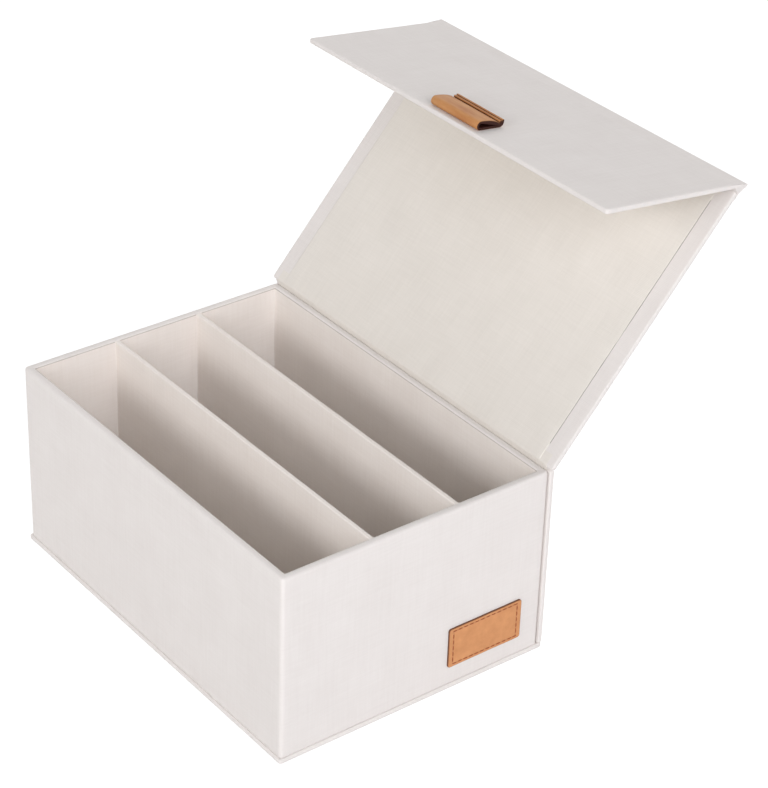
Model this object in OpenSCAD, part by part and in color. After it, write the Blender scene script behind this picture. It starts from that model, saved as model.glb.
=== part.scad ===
// Cloth-covered file box: a greyboard tray with two fixed dividers, glued into a
// book-style case whose base, spine, lid and front flap are boards joined by cloth hinges.
// Millimetres. X runs along the length, -Y is the front, +Z is up, and the origin is the
// middle of the tray on the surface that the box stands on. The lid stands open.

/* [Tray] */
// Outside length of the tray, left to right
tray_length = 248; // [180:1:360]
// Outside depth of the tray, front to back
tray_depth = 172; // [130:1:260]
// Height of the rim above the surface that the box stands on
rim_height = 115.5; // [90:0.5:180]
// Radius of the rim's rounded edges, measured over the cloth
rim_round = 1.6; // [1:0.1:2.2]
// Radius of the tray's upright corners, measured over the cloth
corner_round = 2.4; // [1:0.1:4]
// How far the cover cloth runs down the inside of the rim
rim_turn = 3; // [2.4:0.1:12]

/* [Boards and cloth] */
// Thickness of every greyboard panel
board = 2; // [1.6:0.1:3]
// Thickness of the cloth, glue and all
cloth = 0.4; // [0.25:0.05:0.5]
// How far the cover cloth turns in over the back of a panel
turn_in = 11; // [6:0.5:25]
// Rounding of the cloth-covered panel edges
panel_round = 0.8; // [0.6:0.1:1.2]

/* [Case] */
// How far the base stands out past the tray at the front, and the base and the spine at the sides
case_overhang = 1; // [0:0.1:3]
// How far the lid and the flap stand out past the tray at the sides
lid_overhang = 3; // [0:0.1:5]
// How far the lid is open in the stored pose, in degrees from closed
lid_open = 131.5; // [0:0.1:180]
// Gap between the rim and the closed lid
lid_gap = 0.5; // [0.5:0.1:2]
// How far the spine's top edge lies below the rim
spine_drop = 0.3; // [0.2:0.1:2]
// How far the closed lid's rear edge lies in from the spine's outer face
lid_back = 0.5; // [0.3:0.1:3]
// Distance of the lid's turning axis in from its rear edge
hinge_in = 1.2; // [0.8:0.1:2]
// Distance of the lid's turning axis below its outer face
hinge_deep = 0.9; // [0.6:0.1:1.4]

/* [Flap] */
// Length of the flap panel, from the fold to its free edge
flap_length = 92.4; // [60:0.5:110]
// Angle between the lid and the flap in the stored pose, counted from a straight line
flap_fold = 124.3; // [0:0.1:130]
// Free space between the front wall and the closed flap at the fold
front_gap = 2.7; // [1:0.1:6]
// Half of the cloth between the lid's edge and the flap's edge
crease_half = 3.5; // [3.4:0.1:6]
// Distance of the fold's axis below the outer faces
crease_deep = 1.5; // [1.4:0.1:1.6]
// Clearance between the folded cloth and the edges of the lid and the flap
crease_gap = 0.15; // [0.1:0.05:0.4]
// How far the rear hinge's cloth ends past a panel's edge, as a share of the edge's rounding
strip_end = 1.15; // [1:0.05:1.3]

/* [Dividers] */
// How far the dividers end below the rim
divider_drop = 0.6; // [0:0.1:20]
// Radius of the cloth cove where a divider meets the side walls
divider_cove = 1.6; // [0.6:0.1:4]
// Thickness of the cloth at the cove's edges
cove_skin = 0.15; // [0.1:0.05:0.4]

/* [Magnets] */
// Diameter of the closing magnets
magnet_d = 10; // [6:0.5:16]
// Thickness of the closing magnets
magnet_t = 1.5; // [0.8:0.1:1.5]
// Distance between the two magnets
magnet_spacing = 150; // [60:1:200]
// Distance of the magnets from the flap's free edge
magnet_inset = 14; // [10:0.5:30]
// Clearance round a magnet in its hole
magnet_gap = 0.05; // [0.02:0.01:0.2]

/* [Leather label] */
// Length of the label
label_length = 49.5; // [30:0.5:70]
// Height of the label
label_height = 25; // [15:0.5:40]
// Thickness of the label
label_t = 1.2; // [0.8:0.1:2]
// Radius of the label's corners
label_corner = 2; // [0.5:0.1:5]
// Distance from the label to the rear face of the tray
label_rear = 14.2; // [5:0.1:40]
// Height of the label's lower edge above the ground
label_foot = 14.3; // [8:0.1:40]

/* [Leather pull] */
// Width of the leather strip, along the flap's free edge
pull_width = 39.5; // [20:0.5:80]
// Thickness of the leather
pull_t = 1.5; // [1:0.1:1.8]
// Height of the loop above the flap
loop_height = 5.4; // [4.6:0.1:12]
// Distance of the loop's nose from the flap's free edge
loop_edge = 2.7; // [1:0.1:10]
// Distance from the loop's nose to the standing tail
loop_reach = 15.9; // [12:0.1:30]
// Height of the standing tail
tail_height = 3.8; // [3.7:0.1:8]
// Width of the seam between the two layers of the tail
tail_seam = 0.2; // [0.1:0.05:0.4]

/* [Hidden] */
$fn = 48;
panel = board + 2 * cloth;              // a covered panel
wall = 2 * board + 2 * cloth;           // a tray wall: two boards between two cloths
half_length = tray_length / 2;
half_depth = tray_depth / 2;
inner_x = half_length - wall;
inner_y = half_depth - wall;
tray_foot = panel;                      // the tray stands on the base panel
board_foot = tray_foot + cloth;         // boards stand on the cloth turned in under them
floor_top = board_foot + board + cloth; // top of the floor lining
lining_top = rim_height - rim_turn;

case_width = tray_length + 2 * case_overhang;
lid_width = tray_length + 2 * lid_overhang;
base_front = -half_depth - case_overhang;
spine_face = half_depth + panel;        // outer face of the spine
spine_top = rim_height - spine_drop;

// the closed lid: its under face, its top face, its rear edge, its turning axis
lid_under = rim_height + lid_gap;
lid_top = lid_under + panel;
lid_rear = spine_face - lid_back;
lid_axis = [lid_rear - hinge_in, lid_top - hinge_deep];
// the closed flap: its outer face, the fold's axis, and its free edge
flap_outer = -half_depth - front_gap - panel;
fold_axis = [flap_outer + crease_deep, lid_top - crease_deep];
lid_front = fold_axis[0] + crease_half;
lid_length = lid_rear - lid_front;
flap_top = fold_axis[1] - crease_half;
flap_end = flap_top - flap_length;
fold_reach = crease_half - crease_gap;  // the fold's cloth stays inside this radius

divider_t = board + 2 * cloth;
pocket = (2 * inner_y - 2 * divider_t) / 3;     // three equal pockets
divider_y = (pocket + divider_t) / 2;
divider_top = rim_height - divider_drop;

magnet_along = flap_length - magnet_inset;      // from the flap panel's upper edge
label_y = half_depth - label_rear - label_length / 2;
label_z = label_foot + label_height / 2;

cloth_colour = "linen";
lining_colour = "antiquewhite";
board_colour = "rosybrown";
leather_colour = "peru";
metal_colour = "silver";

// ---- plain shapes ----

// rectangle about the origin with four round corners
module round_rect(x, y, r) {
    square([x - 2 * r, y], center = true);
    square([x, y - 2 * r], center = true);
    for (sx = [-1, 1], sy = [-1, 1])
        translate([sx * (x / 2 - r), sy * (y / 2 - r)]) circle(r);
}

// a flat panel about the origin whose edges and corners are all rounded
module soft_panel(x, y, z, r) {
    intersection() {
        translate([0, 0, -z / 2]) linear_extrude(z) round_rect(x, y, 2 * r);
        rotate([90, 0, 0]) translate([0, 0, -y / 2]) linear_extrude(y) round_rect(x, z, r);
        rotate([90, 0, 90]) translate([0, 0, -x / 2]) linear_extrude(x) round_rect(y, z, r);
    }
}

// the board inside a covered panel, and the cloth round it; the cloth is open over the back of
// the board, up to the low and high insets from the panel's two edges along y
module panel_board(x, y) soft_panel(x - 2 * cloth, y - 2 * cloth, board, panel_round - cloth);

module panel_cloth(x, y, low, high) difference() {
    soft_panel(x, y, panel, panel_round);
    panel_board(x, y);
    panel_window(x, y, low, high);
}

module panel_window(x, y, low, high) translate([turn_in - x / 2, low - y / 2, -panel / 2])
    cube([x - 2 * turn_in, y - low - high, cloth]);

// ---- tray walls ----

// outline of a block with its two upper corners rounded, standing on y = 0
module arched(width, height, r) {
    translate([-width / 2, 0]) square([width, height - r]);
    translate([-width / 2 + r, 0]) square([width - 2 * r, height]);
    for (s = [-1, 1]) translate([s * (width / 2 - r), height - r]) circle(r);
}

// outline of a well whose two upper edges open out round a radius
module flared(width, height, r) {
    translate([-width / 2, 0]) square([width, height + 1]);
    difference() {
        translate([-width / 2 - r, height - r]) square([width + 2 * r, r + 1]);
        for (s = [-1, 1]) translate([s * (width / 2 + r), height - r]) circle(r);
    }
}

// outside of the tray, set in by d from the cloth's surface
module tray_block(d, foot) {
    height = rim_height - d - foot;
    translate([0, 0, foot]) intersection() {
        linear_extrude(height)
            round_rect(2 * (half_length - d), 2 * (half_depth - d), corner_round - d);
        rotate([90, 0, 0]) translate([0, 0, -half_depth])
            linear_extrude(tray_depth) arched(2 * (half_length - d), height, rim_round - d);
        rotate([90, 0, 90]) translate([0, 0, -half_length])
            linear_extrude(tray_length) arched(2 * (half_depth - d), height, rim_round - d);
    }
}

// inside of the tray, set back by d into the wall from the cloth's surface
module tray_well(d, foot) {
    height = rim_height - d - foot;
    translate([0, 0, foot]) intersection() {
        rotate([90, 0, 0]) translate([0, 0, -half_depth])
            linear_extrude(tray_depth) flared(2 * (inner_x + d), height, rim_round - d);
        rotate([90, 0, 90]) translate([0, 0, -half_length])
            linear_extrude(tray_length) flared(2 * (inner_y + d), height, rim_round - d);
    }
}

// all the boards of the walls in one ring
module wall_ring(foot) difference() {
    tray_block(cloth, foot);
    tray_well(cloth, foot);
}

// a box given by its low and high corners
module span(low, high) translate(low) cube(high - low);

outer_x = half_length - cloth - board;  // where the outer boards end and the liners start
outer_y = half_depth - cloth - board;
liner_x = inner_x + cloth;              // where the liners end and the lining starts
liner_y = inner_y + cloth;
far = half_length + half_depth + rim_height;   // past every side of the tray

module front_wall_block() intersection() {
    wall_ring(board_foot);
    span([-far, -far, 0], [far, -outer_y, far]);
}

module front_wall_board() color(board_colour) difference() {
    front_wall_block();
    wall_magnet_discs(magnet_gap);
}

module back_wall_board() color(board_colour) intersection() {
    wall_ring(board_foot);
    span([-far, outer_y, 0], [far, far, far]);
}

module side_wall_board(side) color(board_colour) intersection() {
    wall_ring(board_foot);
    span([side < 0 ? -far : outer_x, -outer_y, 0], [side < 0 ? -outer_x : far, outer_y, far]);
}

// the liners stand on the floor board, inside the outer boards
module long_liner_board(side) color(board_colour) intersection() {
    wall_ring(board_foot + board);
    span([-outer_x, side < 0 ? -outer_y : liner_y, 0],
         [outer_x, side < 0 ? -liner_y : outer_y, far]);
}

module side_liner_board(side) color(board_colour) intersection() {
    wall_ring(board_foot + board);
    span([side < 0 ? -outer_x : liner_x, -liner_y, 0],
         [side < 0 ? -liner_x : outer_x, liner_y, far]);
}

module floor_board() color(board_colour)
    span([-outer_x, -outer_y, board_foot], [outer_x, outer_y, board_foot + board]);

module floor_lining() color(lining_colour)
    span([-liner_x, -liner_y, floor_top - cloth], [liner_x, liner_y, floor_top]);

// one cloth: in under the boards, up the outside, over the rim and a little way down inside
module tray_cloth() color(cloth_colour) difference() {
    tray_block(0, tray_foot);
    tray_well(0, lining_top);
    wall_ring(board_foot);
    span([-liner_x, -liner_y, board_foot], [liner_x, liner_y, lining_top]);
    span([-half_length + turn_in, -half_depth + turn_in, 0],
         [half_length - turn_in, half_depth - turn_in, board_foot]);
}

module wall_lining() color(lining_colour) difference() {
    span([-liner_x, -liner_y, floor_top], [liner_x, liner_y, lining_top]);
    span([-inner_x, -inner_y, 0], [inner_x, inner_y, far]);
}

// ---- dividers ----

module divider_board(y) color(board_colour)
    translate([0, y, floor_top]) rotate([90, 0, 90])
        translate([0, 0, -inner_x]) linear_extrude(2 * inner_x)
            arched(board, divider_top - cloth - floor_top, panel_round - cloth);

module divider_skin(y) translate([0, y, floor_top]) rotate([90, 0, 90])
    translate([0, 0, -inner_x]) linear_extrude(2 * inner_x)
        arched(divider_t, divider_top - floor_top, panel_round);

// hollow curve of cloth in the corner between a divider and a side wall
module cove() linear_extrude(min(divider_top, rim_height - rim_round) - floor_top) difference() {
    square(divider_cove);
    translate([divider_cove + cove_skin, divider_cove + cove_skin]) circle(divider_cove);
}

module divider_cloth(y) color(lining_colour) {
    difference() {
        divider_skin(y);
        divider_board(y);
    }
    for (sx = [-1, 1], sy = [-1, 1])
        translate([sx * inner_x, y + sy * divider_t / 2, floor_top])
            mirror([sx > 0 ? 1 : 0, 0, 0]) mirror([0, sy < 0 ? 1 : 0, 0]) cove();
}

// ---- case ----

base_depth = spine_face - base_front;
spine_height = spine_top - panel;

module on_base() translate([0, (spine_face + base_front) / 2, panel / 2]) rotate([180, 0, 0])
    children();

module on_spine()
    translate([0, spine_face - panel / 2, panel + spine_height / 2]) rotate([90, 0, 180])
        children();

module base_board() color(board_colour) on_base() panel_board(case_width, base_depth);
module base_cloth() color(cloth_colour) on_base() panel_cloth(case_width, base_depth, turn_in, turn_in);
module spine_board() color(board_colour) on_spine() panel_board(case_width, spine_height);
module spine_cloth() color(cloth_colour) on_spine()
    panel_cloth(case_width, spine_height, turn_in, turn_in);

// ---- lid and flap ----

// turns its children about an axis along X that passes through [y, z]
module about(axis, angle)
    translate([0, axis[0], axis[1]]) rotate([angle, 0, 0]) translate([0, -axis[0], -axis[1]])
        children();

// where a point [y, z] of the closed lid lies once the lid is open
function opened(p) = lid_axis + [
    cos(lid_open) * (p[0] - lid_axis[0]) + sin(lid_open) * (p[1] - lid_axis[1]),
    cos(lid_open) * (p[1] - lid_axis[1]) - sin(lid_open) * (p[0] - lid_axis[0])];

module open_lid() about(lid_axis, -lid_open) children();

module on_lid() open_lid()
    translate([0, (lid_rear + lid_front) / 2, lid_under + panel / 2]) children();

module on_flap() open_lid() about(fold_axis, flap_fold - 90)
    translate([0, flap_outer + panel / 2, flap_top - flap_length / 2]) rotate([90, 0, 0])
        children();

// an outline in Y and Z, extruded along the box
module along(width) rotate([90, 0, 90]) linear_extrude(width, center = true) children();

module lid_board() color(board_colour) on_lid() panel_board(lid_width, lid_length);

// the lining runs on to the fold and to the hinge, and only there does no cloth turn in
module lid_cloth() color(cloth_colour) on_lid()
    panel_cloth(lid_width, lid_length, panel_round, panel_round);
module lid_lining() color(lining_colour) on_lid()
    panel_window(lid_width, lid_length, panel_round, panel_round);

// cloth drawn tight over the rounded edges of two panels, between their centres a and b; its
// ends stay clear of the panels' faces
module taut_strip(a, b, side) {
    run = b - a;
    along_run = run / norm(run);
    out = side * [along_run[1], -along_run[0]];
    start = a + strip_end * panel_round * along_run;
    end = b - strip_end * panel_round * along_run;
    polygon([start + panel_round * out, end + panel_round * out,
             end + (panel_round - cloth) * out, start + (panel_round - cloth) * out]);
}

// the cloth between the spine and the lid, outside and inside
module lid_hinge_cloth() color(cloth_colour) along(case_width - 4 * panel_round)
    taut_strip([spine_face - panel_round, spine_top - panel_round],
               opened([lid_rear - panel_round, lid_top - panel_round]), 1);

module lid_hinge_lining() color(lining_colour) along(case_width - 2 * turn_in)
    taut_strip([half_depth + panel_round, spine_top - panel_round],
               opened([lid_rear - panel_round, lid_under + panel_round]), -1);

// everything within d of the fold's axis, under the outer faces of the lid and the flap
module fold_wedge(d) {
    tip = d / cos(flap_fold / 2) * [-sin(flap_fold / 2), cos(flap_fold / 2)];
    side = 4 * crease_half;
    translate(fold_axis) polygon([
        tip, tip + [side, 0],
        side * [sin(flap_fold / 2), -cos(flap_fold / 2)],
        tip - side * [cos(flap_fold), sin(flap_fold)]]);
}

// one layer of cloth round the fold, d from its axis on the outside
module fold_layer(d) intersection() {
    translate(fold_axis) circle(fold_reach);
    difference() {
        fold_wedge(d);
        fold_wedge(d - cloth);
    }
}

module flap_hinge_cloth() color(cloth_colour) open_lid() along(lid_width - 2 * panel_round)
    fold_layer(crease_deep);

module flap_hinge_lining() color(lining_colour) open_lid() along(lid_width - 2 * turn_in)
    fold_layer(crease_deep - cloth);

module flap_board() color(board_colour) difference() {
    on_flap() panel_board(lid_width, flap_length);
    flap_magnet_discs(magnet_gap);
}

module flap_cloth() color(cloth_colour) on_flap()
    panel_cloth(lid_width, flap_length, turn_in, panel_round);
module flap_lining() color(lining_colour) on_flap()
    panel_window(lid_width, flap_length, turn_in, panel_round);

// ---- magnets ----

module magnet_pair(gap) for (s = [-1, 1])
    translate([s * magnet_spacing / 2, 0, 0]) cylinder(d = magnet_d + 2 * gap, h = magnet_t);

// let into the flap board from its inner face
module flap_magnet_discs(gap) on_flap()
    translate([0, magnet_inset - flap_length / 2, -board / 2]) magnet_pair(gap);

// let into the front wall board from its outer face, opposite the magnets of the closed flap
module wall_magnet_discs(gap)
    translate([0, -half_depth + cloth, flap_top - magnet_along]) rotate([-90, 0, 0])
        magnet_pair(gap);

module flap_magnets() color(metal_colour) flap_magnet_discs(0);
module wall_magnets() color(metal_colour) wall_magnet_discs(0);

// ---- leather ----

module label_patch() color(leather_colour)
    translate([half_length, label_y, label_z]) rotate([90, 0, 90])
        linear_extrude(label_t) round_rect(label_length, label_height, label_corner);

function arc(centre, r, from, to, steps) = [for (i = [0:steps])
    let (a = from + (to - from) * i / steps) centre + r * [cos(a), sin(a)]];

// direction in which a line that touches both circles, from above, leaves their centres
function touch_angle(a, ra, b, rb) =
    atan2(b[1] - a[1], b[0] - a[0]) + acos((ra - rb) / norm(b - a));

// the strip from its end: a loop that narrows to its root, and both ends of the strip bent up
// behind it, standing close together
module pull_outline() {
    nose = loop_height / 2;
    eye = [loop_edge + nose, nose];
    root = [loop_edge + loop_reach, pull_t];
    pinch = root - [pull_t, 0];
    hollow = nose - pull_t;
    outer_angle = touch_angle(eye, nose, root, pull_t);
    hollow_angle = touch_angle(eye, hollow, pinch, 0);
    pinch_angle = 2 * atan2(pinch[1] - eye[1], pinch[0] - eye[0]) - hollow_angle + 360;
    difference() {
        polygon(concat(
            arc(eye, nose, outer_angle, 270, 24),
            arc([root[0], 2 * pull_t], 2 * pull_t, 270, 360, 10),
            [[root[0] + 2 * pull_t, tail_height],
             [root[0] + pull_t + tail_seam / 2, tail_height],
             [root[0] + pull_t + tail_seam / 2, 2 * pull_t],
             [root[0] + pull_t - tail_seam / 2, 2 * pull_t],
             [root[0] + pull_t - tail_seam / 2, tail_height],
             [root[0], tail_height],
             [root[0], pull_t + pull_t / sin(outer_angle)]]));
        polygon(concat(arc(eye, hollow, hollow_angle, pinch_angle, 20), [pinch]));
    }
}

module leather_pull() color(leather_colour) on_flap()
    translate([0, -flap_length / 2, panel / 2]) along(pull_width) pull_outline();

// ---- the nodes ----

base_board();
base_cloth();
spine_board();
spine_cloth();
floor_board();
floor_lining();
tray_cloth();
wall_lining();
front_wall_board();
back_wall_board();
side_wall_board(-1);  // left_wall_board
side_wall_board(1);  // right_wall_board
long_liner_board(-1);  // front_liner_board
long_liner_board(1);  // back_liner_board
side_liner_board(-1);  // left_liner_board
side_liner_board(1);  // right_liner_board
divider_board(-divider_y);  // front_divider_board
divider_cloth(-divider_y);  // front_divider_cloth
divider_board(divider_y);  // rear_divider_board
divider_cloth(divider_y);  // rear_divider_cloth
wall_magnets();
label_patch();
lid_hinge_cloth();
lid_hinge_lining();
lid_board();
lid_cloth();
lid_lining();
flap_hinge_cloth();
flap_hinge_lining();
flap_board();
flap_cloth();
flap_lining();
flap_magnets();
leather_pull();
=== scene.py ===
from math import acos, atan2, ceil, cos, degrees, hypot, pi, radians, sin

import bmesh
import bpy
from mathutils import Matrix, Vector, noise
from mathutils.geometry import tessellate_polygon


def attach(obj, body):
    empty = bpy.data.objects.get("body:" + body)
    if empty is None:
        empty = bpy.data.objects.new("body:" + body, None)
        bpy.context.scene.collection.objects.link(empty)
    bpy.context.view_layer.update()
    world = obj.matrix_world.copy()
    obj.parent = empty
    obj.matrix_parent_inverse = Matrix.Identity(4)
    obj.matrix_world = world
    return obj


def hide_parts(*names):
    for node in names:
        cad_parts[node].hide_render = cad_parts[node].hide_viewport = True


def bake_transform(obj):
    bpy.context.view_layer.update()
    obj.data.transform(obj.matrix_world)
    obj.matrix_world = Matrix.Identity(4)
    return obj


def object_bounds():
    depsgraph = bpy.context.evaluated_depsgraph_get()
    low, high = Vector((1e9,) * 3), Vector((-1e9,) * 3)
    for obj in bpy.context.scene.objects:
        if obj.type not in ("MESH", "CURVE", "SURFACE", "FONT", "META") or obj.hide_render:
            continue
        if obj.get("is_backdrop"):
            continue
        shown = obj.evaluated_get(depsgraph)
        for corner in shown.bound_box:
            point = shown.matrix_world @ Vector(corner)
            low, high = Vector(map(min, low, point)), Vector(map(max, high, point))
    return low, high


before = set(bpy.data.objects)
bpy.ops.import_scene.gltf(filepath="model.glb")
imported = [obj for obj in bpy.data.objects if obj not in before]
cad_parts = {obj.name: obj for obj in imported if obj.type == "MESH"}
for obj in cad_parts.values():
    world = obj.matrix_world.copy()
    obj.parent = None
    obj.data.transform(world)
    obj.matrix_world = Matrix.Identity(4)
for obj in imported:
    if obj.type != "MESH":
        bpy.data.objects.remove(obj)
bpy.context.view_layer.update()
scene = bpy.context.scene
mm = 0.001

# sizes that several pieces share, as in the CAD model; all are in mm unless a note says not
tray = {
    "length": 248, "depth": 172, "rim": 115.5,
    "rimRound": 1.6, "cornerRound": 2.4,
    "rimTurn": 3,           # how far the cover runs down inside the rim
    "wall": 4.8,
    "floor": 5.6,           # top of the floor lining
}
panel = {
    "thick": 2.8, "cloth": 0.4,
    "turnIn": 11,           # cover cloth turned in over the back of a board
    "round": 0.8,           # rounding of the covered edges
}
case = {
    "width": 250, "lidWidth": 254,
    "baseFront": -87.0, "spineFace": 88.8, "spineTop": 115.2,
    "lidUnder": 116.0, "lidRear": 88.3, "lidOpen": 131.5,
    "lidAxis": (87.1, 117.9),
    "flapOuter": -91.5, "flapLength": 92.4, "flapFold": 124.3,
    "creaseHalf": 3.5, "creaseDeep": 1.5,
}
lidTop = case["lidUnder"] + panel["thick"]
foldAxis = (case["flapOuter"] + case["creaseDeep"], lidTop - case["creaseDeep"])
lidFront = foldAxis[0] + case["creaseHalf"]
lidLength = case["lidRear"] - lidFront
flapTop = foldAxis[1] - case["creaseHalf"]


def about(axis, angle):
    # a turn about a line along X through (y, z)
    shift = Matrix.Translation((0, axis[0], axis[1]))
    return shift @ Matrix.Rotation(radians(angle), 4, "X") @ shift.inverted()


# each frame puts a panel that lies flat round the origin in its place: Y runs along
# the panel, and Z points out of its covered outer face
openLid = about(case["lidAxis"], -case["lidOpen"])
openFlap = openLid @ about(foldAxis, case["flapFold"] - 90)
halfPanel = panel["thick"] / 2
lidFrame = openLid @ Matrix.Translation(
    (0, (case["lidRear"] + lidFront) / 2, case["lidUnder"] + halfPanel))
flapFrame = (openFlap
             @ Matrix.Translation((0, case["flapOuter"] + halfPanel,
                                   flapTop - case["flapLength"] / 2))
             @ Matrix.Rotation(pi / 2, 4, "X"))
baseFrame = (Matrix.Translation((0, (case["spineFace"] + case["baseFront"]) / 2, halfPanel))
             @ Matrix.Rotation(pi, 4, "X"))
spineHeight = case["spineTop"] - panel["thick"]
spineFrame = (Matrix.Translation((0, case["spineFace"] - halfPanel,
                                  panel["thick"] + spineHeight / 2))
              @ Matrix.Rotation(pi, 4, "Z") @ Matrix.Rotation(pi / 2, 4, "X"))


def hexColour(text):
    parts = [int(text[i:i + 2], 16) / 255 for i in (1, 3, 5)]
    return (*[c / 12.92 if c <= 0.04045 else ((c + 0.055) / 1.055) ** 2.4 for c in parts], 1)


def setInputs(tree, node, settings=None, links=None):
    for name, value in (settings or {}).items():
        if isinstance(name, int) or name in node.inputs:
            node.inputs[name].default_value = value
        else:
            setattr(node, name, value)
    for name, socket in (links or {}).items():
        tree.links.new(socket, node.inputs[name])
    return node


def addNode(tree, kind, settings=None, links=None):
    return setInputs(tree, tree.nodes.new(kind), settings, links)


def emptyTree(holder):
    holder.use_nodes = True
    holder.node_tree.nodes.clear()
    return holder.node_tree


def newMaterial(name):
    material = bpy.data.materials.new(name)
    tree = emptyTree(material)
    shader = addNode(tree, "ShaderNodeBsdfPrincipled")
    addNode(tree, "ShaderNodeOutputMaterial", links={"Surface": shader.outputs[0]})
    return material, tree, shader


# book cloth: plain-woven cotton on paper. It is matt, and single thick threads, the slubs,
# show as faint streaks
clothLook = {
    "threadMm": 0.8,        # between threads; the real 0.5 mm would not show
    "threadDepthMm": 0.04,
    "threadShare": 0.07, "slubShare": 0.38, "cloudShare": 0.2,  # how much each moves the tone
    "slubMm": 1.6, "slubStretch": 20, "crossStretch": 16, "crossFine": 0.8,
    "cloudMm": 26,
    "driftMm": 9, "driftReachMm": 0.5,      # a slow drift bends the threads a little
    "roughness": 0.88, "sheen": 0.10, "sheenRoughness": 0.5, "shine": 0.25,
    "cutEdgeAndShadeColour": "#8F8377",    # cut edges and the insides of folds, with glue and dust, and painted shade along the linings' edges
}


def clothMaterial(name, light, dark, strength=1.0):
    material, tree, shader = newMaterial(name)
    source = addNode(tree, "ShaderNodeUVMap", {"uv_map": "cloth"}).outputs[0]
    look = clothLook
    drift = addNode(tree, "ShaderNodeTexNoise",
                    {"Scale": 1 / (look["driftMm"] * mm), "Detail": 1.0}, {"Vector": source})
    bent = addNode(tree, "ShaderNodeVectorMath",
                   {"operation": "SCALE", "Scale": look["driftReachMm"] * mm},
                   {0: drift.outputs["Color"]})
    place = addNode(tree, "ShaderNodeVectorMath", {"operation": "ADD"},
                    {0: source, 1: bent.outputs[0]}).outputs[0]
    # a wave texture repeats every pi/10 divided by its scale
    threads = [addNode(tree, "ShaderNodeTexWave",
                       {"wave_type": "BANDS", "bands_direction": way,
                        "Scale": pi / 10 / (look["threadMm"] * mm),
                        "Distortion": 0.5, "Detail": 1.0, "Detail Scale": 2.0},
                       {"Vector": place}).outputs["Fac"] for way in ("X", "Y")]
    # slubs: long thin streaks down and across the cloth
    slubs = []
    for wide, tall in ((1, look["slubStretch"]), (look["crossStretch"], look["crossFine"])):
        size = look["slubMm"] * mm
        scaled = addNode(tree, "ShaderNodeMapping",
                         {"Scale": (1 / (size * wide), 1 / (size * tall), 1)},
                         {"Vector": place})
        slubs.append(addNode(tree, "ShaderNodeTexNoise",
                             {"Scale": 1.0, "Detail": 3.0, "Roughness": 0.6},
                             {"Vector": scaled.outputs[0]}).outputs["Fac"])
    cloud = addNode(tree, "ShaderNodeTexNoise",
                    {"Scale": 1 / (look["cloudMm"] * mm), "Detail": 3.0}, {"Vector": source})
    weave, streaks = [addNode(tree, "ShaderNodeMath", {"operation": "ADD"},
                              dict(enumerate(pair))).outputs[0] for pair in (threads, slubs)]
    # each of the three patterns moves the tone about its middle, 0.5
    shares = (look["threadShare"], look["slubShare"], look["cloudShare"] * 2)
    tone = None
    for pattern, share in zip((weave, streaks, cloud.outputs["Fac"]), shares):
        tone = addNode(tree, "ShaderNodeMath",
                       {"operation": "MULTIPLY_ADD", 1: share * strength,
                        2: 0.5 - sum(shares[:2]) * strength - shares[2] * strength / 2},
                       {0: pattern, **({2: tone} if tone else {})}).outputs[0]
    # the two colours of a mix are its inputs 6 and 7, and its output 2 is the mixed colour
    mix = addNode(tree, "ShaderNodeMix",
                  {"data_type": "RGBA", 6: hexColour(dark), 7: hexColour(light)},
                  {"Factor": tone})
    # the edge attribute mixes in the dark edge colour: glue and dust on cut edges, and painted
    # shade along the wall lining's top and at the linings' cut edges
    edge = addNode(tree, "ShaderNodeAttribute", {"attribute_name": "edge"}).outputs["Fac"]
    wornAndShaded = addNode(tree, "ShaderNodeMix",
                   {"data_type": "RGBA", 7: hexColour(look["cutEdgeAndShadeColour"])},
                   {"Factor": edge, 6: mix.outputs[2]})
    height = addNode(tree, "ShaderNodeMath", {"operation": "MULTIPLY_ADD", 1: 1.4},
                     {0: streaks, 2: weave})
    bump = addNode(tree, "ShaderNodeBump",
                   {"Strength": 0.4, "Distance": look["threadDepthMm"] * mm},
                   {"Height": height.outputs[0]})
    setInputs(tree, shader, {"Roughness": look["roughness"], "Sheen Weight": look["sheen"],
                             "Sheen Roughness": look["sheenRoughness"],
                             "Specular IOR Level": look["shine"]},
              {"Base Color": wornAndShaded.outputs[2], "Normal": bump.outputs[0]})
    return material


def speckledMaterial(name, dark, light, speckMm, detail, roughness):
    material, tree, shader = newMaterial(name)
    where = addNode(tree, "ShaderNodeTexCoord").outputs["Object"]
    specks = addNode(tree, "ShaderNodeTexNoise",
                     {"Scale": 1 / (speckMm * mm), "Detail": detail}, {"Vector": where})
    mix = addNode(tree, "ShaderNodeMix",
                  {"data_type": "RGBA", 6: hexColour(dark), 7: hexColour(light)},
                  {"Factor": specks.outputs["Fac"]})
    setInputs(tree, shader, {"Roughness": roughness}, {"Base Color": mix.outputs[2]})
    return material


# vegetable-tanned cowhide: smooth, with a soft shine on the grain and painted edges
leatherLook = {
    "cloudMm": 7, "fineMm": 0.4, "grainDepthMm": 0.08, "roughness": 0.55, "shine": 0.25,
}


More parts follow.
